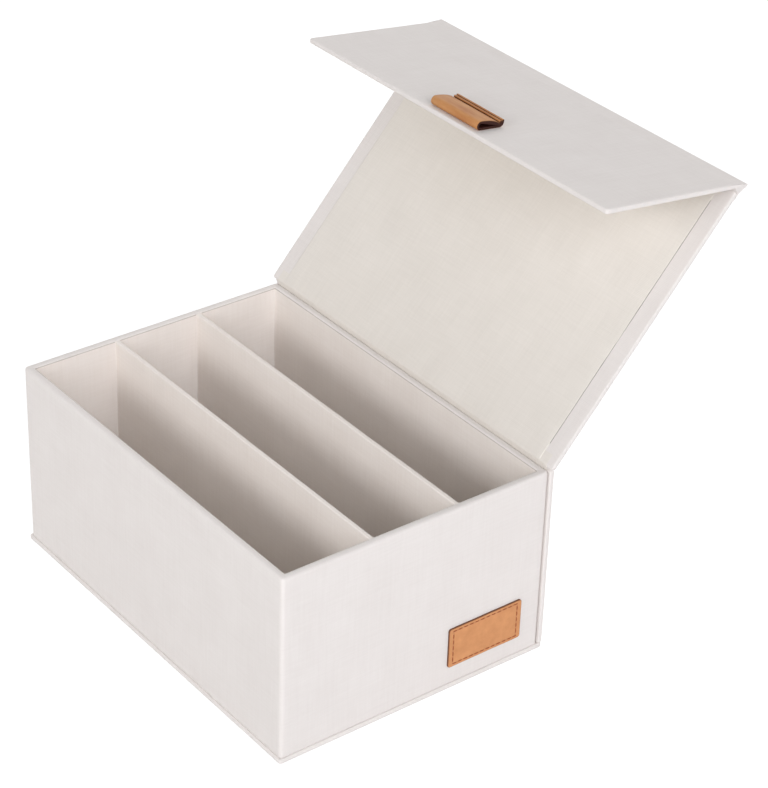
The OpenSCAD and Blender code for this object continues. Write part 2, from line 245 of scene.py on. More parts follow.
def leatherMaterial(name, light, dark, edge, grainMm, streak):
    look = leatherLook
    material, tree, shader = newMaterial(name)
    where = addNode(tree, "ShaderNodeTexCoord").outputs["Object"]
    long = addNode(tree, "ShaderNodeMapping", {"Scale": streak}, {"Vector": where})
    cloud = addNode(tree, "ShaderNodeTexNoise",
                    {"Scale": 1 / (look["cloudMm"] * mm), "Detail": 5.0, "Roughness": 0.6},
                    {"Vector": long.outputs[0]})
    spread = addNode(tree, "ShaderNodeMapRange", {"From Min": 0.3, "From Max": 0.7},
                     {"Value": cloud.outputs["Fac"]})
    mix = addNode(tree, "ShaderNodeMix",
                  {"data_type": "RGBA", 6: hexColour(dark), 7: hexColour(light)},
                  {"Factor": spread.outputs[0]})
    # the edge attribute mixes in the edge colour: edge paint on cut edges, painted shade in the
    # pull's hollow, its tail's seam and the notch before the tail, and on the label darker in
    # the seam's groove
    painted = addNode(tree, "ShaderNodeAttribute", {"attribute_name": "edge"}).outputs["Fac"]
    rim = addNode(tree, "ShaderNodeMix", {"data_type": "RGBA", 7: hexColour(edge)},
                  {"Factor": painted, 6: mix.outputs[2]})
    grain = addNode(tree, "ShaderNodeTexVoronoi",
                    {"Scale": 1 / (grainMm * mm), "feature": "SMOOTH_F1"}, {"Vector": where})
    fine = addNode(tree, "ShaderNodeTexNoise",
                   {"Scale": 1 / (look["fineMm"] * mm), "Detail": 3.0}, {"Vector": where})
    height = addNode(tree, "ShaderNodeMath", {"operation": "ADD"},
                     {0: grain.outputs["Distance"], 1: fine.outputs["Fac"]})
    bump = addNode(tree, "ShaderNodeBump",
                   {"Strength": 0.4, "Distance": look["grainDepthMm"] * mm},
                   {"Height": height.outputs[0]})
    setInputs(tree, shader, {"Roughness": look["roughness"],
                             "Specular IOR Level": look["shine"]},
              {"Base Color": rim.outputs[2], "Normal": bump.outputs[0]})
    return material


def nickelMaterial():
    # nickel plate on a pressed magnet: bright, a little dull where it was tumbled
    material, tree, shader = newMaterial("nickelPlate")
    where = addNode(tree, "ShaderNodeTexCoord").outputs["Object"]
    dull = addNode(tree, "ShaderNodeTexNoise", {"Scale": 1 / (3 * mm), "Detail": 3.0},
                   {"Vector": where})
    rough = addNode(tree, "ShaderNodeMapRange", {"To Min": 0.2, "To Max": 0.35},
                    {"Value": dull.outputs["Fac"]})
    setInputs(tree, shader, {"Base Color": hexColour("#C9C6C0"), "Metallic": 1.0},
              {"Roughness": rough.outputs[0]})
    return material


coverCloth = clothMaterial("coverBookCloth", "#F0EBE8", "#DED7D3")
liningCloth = clothMaterial("liningBookCloth", "#EEE8E1", "#DED8D0", 1.3)
wallCloth = clothMaterial("wallBookCloth", "#F6F0EB", "#E8DFD8", 1.3)
# greyboard: pressed waste paper, matt grey-brown with darker fibres
greyboard = speckledMaterial("greyboard", "#8C857C", "#A69E94", 2, 6.0, 0.95)
evenly = (1, 1, 1)
labelLeather = leatherMaterial("labelLeather", "#DA9A68", "#CA8B5B", "#6E4630", 0.7, evenly)
# the strip's clouds run along its width, and its edges are painted dark brown; the same dark
# brown is painted shade in its hollow, seam and notch
pullLeather = leatherMaterial("pullLeather", "#C9935F", "#AC6B3B", "#36160E", 0.6,
                              (0.25, 1, 1))
# waxed linen thread: twisted, slightly shiny, reddish brown
waxedThread = speckledMaterial("waxedThread", "#86401F", "#B05E30", 0.5, 2.0, 0.6)
nickel = nickelMaterial()
print("materials made")


def newObject(name, data):
    made = bpy.data.objects.new(name, data)
    scene.collection.objects.link(made)
    return made


weldDistance = 1e-7     # metres: points closer than this become one
sharpAngle = 48         # degrees: cut edges stay crisp, as rounded ones turn in smaller steps


def finishMesh(name, points, faces, material, uvs=None, place=None, edge=None):
    # points in mm; place moves them to where they belong, and the mesh ends in metres
    mesh = bpy.data.meshes.new(name)
    place = place or Matrix.Identity(4)
    mesh.from_pydata([place @ Vector(p) * mm for p in points], [], faces)
    if uvs:
        layer = mesh.uv_layers.new(name="cloth")
        for loop in mesh.loops:
            u, v = uvs[loop.vertex_index]
            layer.data[loop.index].uv = (u * mm, v * mm)
    if edge:
        mesh.attributes.new("edge", "FLOAT", "POINT").data.foreach_set("value", edge)
    mesh.shade_smooth()
    mesh.materials.append(material)
    piece = newObject(name, mesh)
    # seams and corner points that fell together are closed, and faces point outwards
    shape = bmesh.new()
    shape.from_mesh(mesh)
    bmesh.ops.remove_doubles(shape, verts=shape.verts, dist=weldDistance)
    bmesh.ops.recalc_face_normals(shape, faces=shape.faces)
    shape.to_mesh(mesh)
    shape.free()
    mesh.set_sharp_from_angle(angle=radians(sharpAngle))
    return piece


def finishPiece(piece, body, slotName, *nodes):
    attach(piece, body)
    if nodes:
        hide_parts(*nodes)


def finishSheet(piece, body, slotName, node, flat, *carriers):
    # flat in mm, as it was cut, and the carriers, what it is glued to, are not used
    finishPiece(piece, body, slotName, node)


def finishBent(piece, bodies, bounds, slotName, node, flat, held, *carriers):
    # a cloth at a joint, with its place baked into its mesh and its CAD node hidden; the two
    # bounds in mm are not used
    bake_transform(piece)
    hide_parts(node)


# a rectangle's corners: signs of X and Y, and the direction in which the arc there starts
corners = [(1, -1, -90), (1, 1, 0), (-1, 1, 90), (-1, -1, 180)]


def cornerLoop(width, length, radius, step, cornerSteps):
    # round a rectangle with round corners, for each point: the arc's centre, the direction
    # outwards, the corner and the rectangle's half sizes
    points = []
    halfX, halfY = width / 2, length / 2
    centres = [(sx * (halfX - radius), sy * (halfY - radius)) for sx, sy, start in corners]
    for (sx, sy, start), centre, goal in zip(corners, centres, centres[1:] + centres[:1]):
        for k in range(cornerSteps + 1):
            a = radians(start + 90 * k / cornerSteps)
            points.append((centre, (cos(a), sin(a)), (sx, sy), (halfX, halfY)))
        apart = (goal[0] - centre[0], goal[1] - centre[1])
        count = max(1, ceil(hypot(*apart) / step))
        for k in range(1, count):
            mid = [centre[i] + apart[i] * (k / count) for i in (0, 1)]
            points.append((mid, (cos(a), sin(a)), None, (halfX, halfY)))
    return points


def insetPoint(spot, radius, inset):
    # where a point of the loop lies once the loop has moved in by the inset
    centre, normal, corner, halves = spot
    left = max(radius - inset, 0)
    past = max(inset - radius, 0)
    way = corner or normal
    found = [centre[k] + left * normal[k] - past * way[k] for k in (0, 1)]
    if past:    # points near a corner stay inside the smaller rectangle
        found = [max(inset - halves[k], min(halves[k] - inset, found[k])) for k in (0, 1)]
    return found


def bridgeRings(count, rings, capped=True):
    # faces between neighbouring rings of so many points, and over both ends
    faces = []
    for ring in range(rings - 1):
        for k in range(count):
            a = ring * count + k
            b = ring * count + (k + 1) % count
            faces.append((a, b, b + count, a + count))
    if capped:
        last = (rings - 1) * count
        faces.append(tuple(reversed(range(count))))
        faces.append(tuple(range(last, last + count)))
    return faces


def runsAlong(spots):
    # how far each spot lies along the line through them
    runs = [0.0]
    for a, b in zip(spots, spots[1:]):
        runs.append(runs[-1] + hypot(b[0] - a[0], b[1] - a[1]))
    return runs


def arcSpots(centre, radius, start, end, steps):
    turns = [radians(start + (end - start) * k / steps) for k in range(steps + 1)]
    return [(centre[0] + radius * cos(a), centre[1] + radius * sin(a)) for a in turns]


def arcPoints(*arc):
    return [Vector(spot) for spot in arcSpots(*arc)]


def sweepRound(name, profile, ups, sizes, radius, step, cornerSteps, material, lift=None,
               marks=None):
    # a closed profile of insets and heights drawn round the box. The first copy comes again
    # at the end, so that the weave does not run back across one face
    loop = cornerLoop(*sizes, radius, step, cornerSteps)
    loop.append(loop[0])
    points, uvs = [], []
    for spot, u in zip(loop, runsAlong([insetPoint(spot, radius, 0) for spot in loop])):
        for j, (d, z) in enumerate(profile):
            x, y = insetPoint(spot, radius, d)
            points.append((x, y, z + (lift(j, Vector((x, y, z))) if lift else 0)))
            uvs.append((u, ups[j]))
    faces = bridgeRings(len(profile), len(loop), False)
    return finishMesh(name, points, faces, material, uvs, None, marks and marks * len(loop))


# the tray's cover: one cloth, in under the boards, up the outside and over the rim
trayCover = {
    "step": 4.0,            # between points along the perimeter
    "wave": 0.12,           # how far the cloth dips unevenly at the rim
    "waveLength": 14.0, "waveBelow": 2.2,
    "footRound": 0.5,
}


def makeTrayCover():
    r, c = tray["rimRound"], panel["cloth"]
    foot, rim, wall = panel["thick"], tray["rim"], tray["wall"]
    liningTop, low = rim - tray["rimTurn"], trayCover["footRound"]
    outerEdge, innerEdge = (r, rim - r), (wall - r, rim - r)
    # profile: distance in from the outer face, and height; outside first, then back inside
    outside = [(panel["turnIn"], foot), (2.0, foot), (low, foot)]
    outside += arcSpots((low, foot + low), low, 270, 180, 3)[1:]
    outside += [(0, z) for z in (8, 30, 60, 90, rim - r - 2)]
    outside += arcSpots(outerEdge, r, 180, 90, 6) + [(wall / 2, rim)]
    outside += arcSpots(innerEdge, r, 90, 0, 6) + [(wall, liningTop)]
    inside = [(wall - c, liningTop)] + arcSpots(innerEdge, r - c, 0, 90, 6)
    inside += arcSpots(outerEdge, r - c, 90, 180, 6)
    inside += [(c, 60), (c, foot + c), (panel["turnIn"], foot + c)]
    ups = runsAlong(outside)
    ups += [ups[-1]] * len(inside)

    def dip(j, spot):
        if j >= len(outside) or spot[2] <= rim - trayCover["waveBelow"]:
            return 0
        return 0.5 * trayCover["wave"] * (noise.noise(spot / trayCover["waveLength"]) - 1)

    return sweepRound("trayCover", outside + inside, ups, (tray["length"], tray["depth"]),
                      tray["cornerRound"], trayCover["step"], 6, coverCloth, dip)


finishSheet(makeTrayCover(), "box", "cover_cloth", "tray_cloth", (840, 131),
            "front_wall_board", "back_wall_board", "left_wall_board", "right_wall_board")
print("tray cover made")

# covers of the four panels, turned in round every edge
panelCover = {
    "step": 5.0,
    "wave": 0.05,           # unevenness of the turned edges
    "waveLength": 17.0,
    "faceInset": 9, "bandInset": 2.2,   # where the mesh is cut finer towards the edges
    "cutSlope": 0.3,        # how far the cut edge of the turn-in slopes
}


def makePanelCover(name, width, length, place, seed):
    r, c, half = panel["round"], panel["cloth"], halfPanel
    corner, turnIn = 2 * r, panel["turnIn"]
    inner, band = panelCover["faceInset"], panelCover["bandInset"]
    # each ring: inset from the panel's edge, height, and length of cloth past the face's edge
    rings = [(inner, half, r - inner), (band, half, r - band)]
    arcLength = r * pi / 2
    side = 2 * (half - r)
    turns = range(0, 91, 18)
    rings += [(r - r * sin(radians(a)), half - r + r * cos(radians(a)), arcLength * a / 90)
              for a in turns]
    rings += [(r - r * cos(radians(a)), -half + r - r * sin(radians(a)),
               arcLength + side + arcLength * a / 90) for a in turns]
    turned = 2 * arcLength + side - r
    cut = turnIn - panelCover["cutSlope"]
    rings += [(inset, -half, turned + inset) for inset in (band, cut)]
    outsideCount = len(rings)
    # and back on the boards' side, where no weave shows
    rings += [(turnIn, -half + c, turned + turnIn), (band, -half + c, 6), (c, -half + r, 4),
              (c, half - r, 2), (r, half - c, 0), (inner, half - c, r - inner)]
    loop = cornerLoop(width, length, corner, panelCover["step"], 5)
    points, uvs = [], []
    for index, (inset, z, past) in enumerate(rings):
        for spot in loop:
            x, y = insetPoint(spot, corner, inset)
            baseX, baseY = insetPoint(spot, corner, r if past > -1e-6 else inset)
            normal = spot[1]
            stretch = max(past, 0)
            uvs.append((baseX + normal[0] * stretch, baseY + normal[1] * stretch))
            if 1 < index < outsideCount - 2:
                lift = panelCover["wave"] * noise.noise(
                    Vector((x + seed * 31, y, z * 4)) / panelCover["waveLength"])
                x, y = x + normal[0] * lift, y + normal[1] * lift
            points.append((x, y, z))
    faces = bridgeRings(len(loop), len(rings))
    return finishMesh(name, points, faces, coverCloth, uvs, place)


covers = (
    ("baseCover", case["width"], case["spineFace"] - case["baseFront"], baseFrame, "box",
     "base_cloth", "base_board"),
    ("spineCover", case["width"], spineHeight, spineFrame, "box", "spine_cloth",
     "spine_board"),
    ("lidCover", case["lidWidth"], lidLength, lidFrame, "lid", "lid_cloth", "lid_board"),
    ("flapCover", case["lidWidth"], case["flapLength"], flapFrame, "flap", "flap_cloth",
     "flap_board"),
)
cutMore = 2 * (panel["turnIn"] + panel["thick"])    # what the turn-ins add to a cover's cut
for seed, (name, width, length, place, body, node, board) in enumerate(covers):
    finishSheet(makePanelCover(name, width, length, place, seed), body, "cover_cloth", node,
                (width + cutMore, length + cutMore), board)
print("panel covers made")

# linings: thin cloths glued over the turn-ins of the lid and the flap, and on the floor
lining = {
    "thick": 0.35,
    "step": 6.0, "corner": 0.4, "inner": 6, "sunk": 0.02,
    "wave": 0.25, "waveLength": 22,     # unevenness of the cut edge
    "edgeShadeMark": 0.1,        # how much of the dark edge colour its cut edge has: glue, and painted shade towards the board
}


def makeLining(name, width, low, high, length, place, seed):
    # low and high: how far its two ends lie in from the panel's ends
    middle = (low - high) / 2
    face, back = -halfPanel - lining["thick"], -halfPanel + lining["sunk"]
    inner, dark = lining["inner"], lining["edgeShadeMark"]
    # each ring: inset, height, and how dark the cut edge is there
    rings = [(inner, face, 0), (0.45, face, 0), (0.12, face + 0.05, 0), (0, face + 0.15, 0),
             (0, -halfPanel, dark), (0.3, back, dark), (inner, back, 0)]
    loop = cornerLoop(width, length - low - high, lining["corner"], lining["step"], 2)
    points, uvs, values = [], [], []
    for inset, z, mark in rings:
        for spot in loop:
            x, y = insetPoint(spot, lining["corner"], inset)
            if inset < 1 and abs(spot[1][0]) > 0.9:     # only the two long edges waver
                x += lining["wave"] * noise.noise(
                    Vector((seed * 7, y / lining["waveLength"], x)))
            points.append((x, y + middle, z))
            uvs.append((x, y + middle))
            values.append(mark)
    faces = bridgeRings(len(loop), len(rings))
    return finishMesh(name, points, faces, liningCloth, uvs, place, values)


liningWidth = case["lidWidth"] - 2 * panel["turnIn"]
innerX = tray["length"] / 2 - tray["wall"]
innerY = tray["depth"] / 2 - tray["wall"]
# the floor's lining faces up: turned over, its frame lies half a panel under it
floorFrame = (Matrix.Translation((0, 0, tray["floor"] - lining["thick"] - halfPanel))
              @ Matrix.Rotation(pi, 4, "X"))
for name, width, low, high, length, place, body, node, board in (
        ("lidLining", liningWidth, panel["round"], panel["round"], lidLength, lidFrame,
         "lid", "lid_lining", "lid_board"),
        ("flapLining", liningWidth, panel["turnIn"], panel["round"], case["flapLength"],
         flapFrame, "flap", "flap_lining", "flap_board"),
        ("floorLining", 2 * innerX, 0, 0, 2 * innerY, floorFrame, "box", "floor_lining",
         "floor_board")):
    finishSheet(makeLining(name, width, low, high, length, place, len(name)), body,
                "lining_cloth", node, (width, length - low - high), board)

# the lining of the walls reaches up to the inner edge of the rim
wallLining = {
    "proud": 0.16, "top": 114.75, "thick": 0.5, "corner": 0.9,
    "edgeBand": 0.15, "edgeShadeMark": 0.6,  # the dark line along its upper edge: its cut edge, and painted shade where it meets the rim
}


def makeWallLining():
    rim, r = tray["rim"], tray["rimRound"]

    def hollow(z):
        # how far the rim's rounding has drawn back at a height
        rise = max(z - (rim - r), 0)
        return r - (r * r - rise * rise) ** 0.5

    heights = [tray["floor"] - 0.3, 20, 50, 80, 105, 113.9, 114.3, wallLining["top"] - 0.12]
    top = wallLining["top"]
    front = [(wallLining["proud"] - hollow(z), z) for z in heights]
    front.append((wallLining["proud"] - 0.1 - hollow(top), top))
    profile = front + [(d - wallLining["thick"], z) for d, z in reversed(front)]
    ups = [z for d, z in profile]
    marks = [wallLining["edgeShadeMark"] if z > top - wallLining["edgeBand"] else 0 for z in ups]
    return sweepRound("wallLining", profile, ups, (2 * innerX, 2 * innerY),
                      wallLining["corner"], lining["step"], 4, wallCloth, None, marks)


finishSheet(makeWallLining(), "box", "lining_cloth", "wall_lining", (801, 109),
            "front_liner_board", "back_liner_board", "left_liner_board",
            "right_liner_board")
print("linings made")

# dividers: a board in a cloth that opens out into a hollow curve at the side walls
divider = {
    "top": 114.9, "half": 1.4, "round": 0.8, "cove": 0.7, "offset": 27.5333,
    "sunk": 0.45,           # its ends run into the walls' cloth
    "wave": 0.15, "waveLength": 30,     # how far the glued cloth wanders
}


def makeDividerCover(name, y0, seed):
    cove, r, c = divider["cove"], divider["round"], panel["cloth"]
    reach = innerX + divider["sunk"]
    ends = [0, divider["sunk"], 0.6, 0.8, 1.05, 1.35, 1.7, 2.05, 3, 8]
    columns, edge = 28, ends[-1]    # even ones between the finer stations at both ends
    inner = [-reach + edge + 2 * (reach - edge) * k / columns for k in range(1, columns)]
    stations = [e - reach for e in ends] + inner + [reach - e for e in reversed(ends)]
    points, uvs = [], []
    for x in stations:
        near = max(0.0, min(1.0, (cove - (innerX - abs(x))) / cove))
        half = divider["half"] + cove * (1 - (1 - near * near) ** 0.5)
        skin = [(-half, z) for z in (tray["floor"] - 0.2, 25, 50, 75, 100)]
        skin += arcSpots((-half + r, divider["top"] - r), r, 180, 90, 6)
        skin += [(-y, z) for y, z in reversed(skin)]
        board = [(y * (half - c) / half, z - (c if z > 110 else 0)) for y, z in skin]
        runs, long = runsAlong(skin), divider["waveLength"]
        for (y, z), v in list(zip(skin, runs)) + list(zip(board, runs))[::-1]:
            lift = divider["wave"] * noise.noise(
                Vector((x / long, z / long, seed * 5 + y / 9)))
            points.append((x, y0 + y + (lift if abs(y) > 0.5 else 0), z))
            uvs.append((x, v))
    faces = bridgeRings(len(points) // len(stations), len(stations))
    return finishMesh(name, points, faces, wallCloth, uvs)


for side, which in ((-1, "front"), (1, "rear")):
    cover = makeDividerCover(which + "DividerCover", side * divider["offset"], side)
    finishSheet(cover, "box", "lining_cloth", which + "_divider_cloth", (240, 221),
                which + "_divider_board")
print("divider covers made")


def thickStrip(path, thick):
    # closed outline of a strip: one surface, then back along the other, to its left
    back = []
    for k, spot in enumerate(path):
        ahead = (path[min(k + 1, len(path) - 1)] - path[max(k - 1, 0)]).normalized()
        back.append(spot + Vector((-ahead[1], ahead[0])) * thick)
    return path + back[::-1]


def sweepAcross(name, outline, halfWidth, material, place=None, spread=None, ends=None,
                tuck=0):
    # an outline in Y and Z drawn across the box; a second one can take its place at the
    # ends, as far in as tuck
    step, change = 8.0, 1e-4    # mm between copies, and the share that the change takes
    count = ceil(2 * halfWidth / step)
    runs = runsAlong(outline)
    shares = [2 * k / count - 1 for k in range(count + 1)]
    if ends:
        near = 1 - tuck / halfWidth
        inside = [share for share in shares if abs(share) < near - 100 * change]
        shares = [-1, -near, change - near] + inside + [near - change, near, 1]
    points, uvs = [], []
    for share in shares:
        drawn = ends if ends and abs(share) >= near else outline
        for j, spot in enumerate(drawn):
            x = share * (halfWidth + (spread[j] if spread else 0))
            points.append((x, spot[0], spot[1]))
            uvs.append((x, runs[j]))
    faces = bridgeRings(len(outline), len(shares))
    return finishMesh(name, points, faces, material, uvs, place)


# the hinge between the spine and the lid: a cloth outside, a lining inside
hinge = {
    "lap": 6.0,             # how far the cloths run on over the panels
    "proud": 0.04, "sink": 0.15,    # how far they stand off the faces, and sink in at the ends
    "liningLap": 5.5,       # down the spine
    "handle": 1.3,          # how far the outer cloth keeps its direction as it leaves a panel
    "clothEnds": 0.5, "liningEnds": 3.0,    # shorter than the case at each side
    "tuck": 3.0,            # how far the turned-in cloth fills the hinge from each side
}


def opened(y, z):
    spot = openLid @ Vector((0, y, z))
    return Vector((spot[1], spot[2]))


def curvePoints(a, b, c, d, steps):
    # a curve from a to d that sets out towards b and arrives from c
    return [a * (1 - t) ** 3 + b * 3 * t * (1 - t) ** 2 + c * 3 * t * t * (1 - t) + d * t ** 3
            for t in [k / steps for k in range(1, steps)]]


r = panel["round"]
start = Vector((case["spineFace"] + hinge["proud"], case["spineTop"] - r))
end = opened(case["lidRear"] - r, lidTop + hinge["proud"])
lapEnd = opened(case["lidRear"] - r - hinge["lap"], lidTop + hinge["proud"])
along = (lapEnd - end).normalized()
path = [start - Vector((0, hinge["lap"] * t)) for t in (1, 0.5, 0)]
path += curvePoints(start, start + Vector((0, hinge["handle"])),
                    end - along * hinge["handle"], end, 10)
path += [end + along * hinge["lap"] * t for t in (0, 0.5, 1)]
# the ends of a lap sink into the face, so that no step shows
path[0] -= Vector((hinge["sink"], 0))
path[-1] += Vector((-along[1], along[0])) * hinge["sink"]
outline = thickStrip(path, panel["cloth"])
# at the ends the hollow behind the cloth is filled, where its edge is tucked in
tucked = list(outline)
inner = Vector((case["spineFace"] - 2.4, case["spineTop"] - 0.1))
outer = opened(case["lidRear"] - 0.3, case["lidUnder"] + 0.4)
bent = range(len(path) + 4, 2 * len(path) - 4)
for k in bent:
    tucked[k] = outer.lerp(inner, (k - bent[0]) / (len(bent) - 1))
hingeCloth = sweepAcross("hingeCloth", outline, case["width"] / 2 - hinge["clothEnds"],
                         coverCloth, ends=tucked, tuck=hinge["tuck"])
hingeBounds = [Vector((0, *start)), Vector((0, *end))]

# the centre of the rounding at the spine's top inner edge
rounding = Vector((case["spineFace"] - panel["thick"] + r, case["spineTop"] - r))
liningStart = rounding - Vector((r + hinge["proud"], 0))
path = [liningStart - Vector((0, hinge["liningLap"] * t)) for t in (1, 0.5, 0)]
wrap = arcPoints((case["lidRear"] - r, case["lidUnder"] + r), r + hinge["proud"], -37, -90, 6)
path += [opened(*spot) for spot in wrap]
path += [opened(case["lidRear"] - r - hinge["lap"] * t, case["lidUnder"] - hinge["proud"])
         for t in (0.5, 1)]
path[3:3] = [path[2].lerp(path[3], t) for t in (0.2, 0.4, 0.6, 0.8)]
hingeLining = sweepAcross("hingeLining", thickStrip(path, -lining["thick"]),
                          case["width"] / 2 - hinge["liningEnds"], liningCloth)
finishBent(hingeCloth, ("box", "lid"), hingeBounds, "cover_cloth", "lid_hinge_cloth",
           (249, 15.6), "stretched", "spineCover", "lidCover")
finishBent(hingeLining, ("box", "lid"), hingeBounds, "lining_cloth", "lid_hinge_lining",
           (244, 15.5), "stretched", "spineCover", "lidLining")
print("hinge cloths made")

# the fold between the lid and the flap: a cloth folded to a sharp edge, and its lining
fold = {
    "lap": 6.0, "proud": 0.04, "sink": 0.15,
    "tipRound": 0.45, "liningTipRound": 0.12,
    "ear": 1.6,             # how far the folded edge stands out past the panels' sides
    "earRise": 4.0,         # over what height that grows
    "fillFrom": -0.6, "fillTo": -2.4,   # what the turned-in cloth fills, from the panels' edges
    "liningEnds": 8.0,      # the lining is shorter than the panels at each side
    "tuck": 9.0,            # how far the turned-in cloth fills the fold from each side
}
halfFold = radians(case["flapFold"] / 2)
bisector = Vector((-sin(halfFold), cos(halfFold)))
axisPoint = Vector(foldAxis)


def mirrored(spot):
    # the flap's side of the fold, from the lid's side
    away = spot - axisPoint
    return axisPoint + bisector * (2 * away.dot(bisector)) - away


def foldTip(deep, tipRound):
    # arc round the folded edge of a cloth whose face lies that far above the axis
    centre = axisPoint + bisector * ((deep - tipRound) / cos(halfFold))
    return arcPoints(centre, tipRound, 90, 90 + case["flapFold"], 10)


face = lidTop + fold["proud"]
tip = foldTip(case["creaseDeep"] + fold["proud"], fold["tipRound"])
leg = [Vector((lidFront + fold["lap"] * t, face)) for t in (1, 0.5, 0)]
leg[0] -= Vector((0, fold["sink"]))     # into the panel, so that no step shows
leg += [leg[2].lerp(tip[0], t) for t in (0.2, 0.4, 0.6, 0.8, 0.92)]
path = leg + tip + [mirrored(spot) for spot in reversed(leg)]
outline = thickStrip(path, panel["cloth"])
first, last = leg[2], mirrored(leg[2])
edgeMiddle = (first + last) / 2


def earAt(spot):
    # 0 at the panels' edges, 1 at the folded edge
    return max(0.0, min(1.0, (spot - edgeMiddle).dot(bisector) / fold["earRise"]))


# at the ends the inside of the fold is filled, where the cloth is tucked in
tucked = outline[:len(path)]
for spot in outline[len(path):]:
    rise = (spot - edgeMiddle).dot(bisector)
    tucked.append(spot + bisector * (fold["fillTo"] - rise) if rise > fold["fillFrom"]
                  else spot)
foldCloth = sweepAcross("foldCloth", outline, case["lidWidth"] / 2, coverCloth, openLid,
                        [fold["ear"] * earAt(spot) for spot in outline], tucked,
                        fold["tuck"])

under = case["lidUnder"] - fold["proud"]
deep = lidTop - 2 * panel["cloth"]
half = [Vector((lidFront + fold["lap"] * t, under)) for t in (1, 0.5)]
half += arcPoints((lidFront + r, case["lidUnder"] + r), r + fold["proud"], -90, -180, 6)
half += arcPoints((lidFront - fold["proud"] - 0.5, deep - 0.5), 0.5, 0, 90, 5)
tip = foldTip(deep - foldAxis[1], fold["liningTipRound"])
half += [half[-1].lerp(tip[0], t) for t in (0.3, 0.6, 0.85)]
path = half + tip + [mirrored(spot) for spot in reversed(half)]
foldLining = sweepAcross("foldLining", thickStrip(path, -lining["thick"]),
                         case["lidWidth"] / 2 - fold["liningEnds"], liningCloth, openLid)
foldBounds = [openLid @ Vector((0, *spot)) for spot in (first, last)]
finishBent(foldCloth, ("lid", "flap"), foldBounds, "cover_cloth", "flap_hinge_cloth",
           (255.5, 23.5), "folded", "lidCover", "flapCover")
finishBent(foldLining, ("lid", "flap"), foldBounds, "lining_cloth", "flap_hinge_lining",
           (238, 26), "folded", "lidLining", "flapLining")
print("fold cloths made")

# the pull: a strip of leather in a loop, both its ends bent up behind it
pull = {
    "width": 39.5, "thick": 1.5, "loopHeight": 5.4, "loopEdge": 2.7, "loopReach": 15.9,
    "tailHeight": 4.3, "tailStep": 0.45,    # the tail's front layer is that much lower
    "tailSeam": 0.35,
    "bevel": 0.28,          # rounding of the cut ends
}


def insetOutline(outline, inset):
    # outline moved in by the inset, to the left of its direction
    moved = []
    for k, spot in enumerate(outline):
        ahead = (spot - outline[k - 1]).normalized()
        after = (outline[(k + 1) % len(outline)] - spot).normalized()
        way = (ahead + after).normalized()
        moved.append(spot + Vector((-way[1], way[0])) * inset)
    return moved


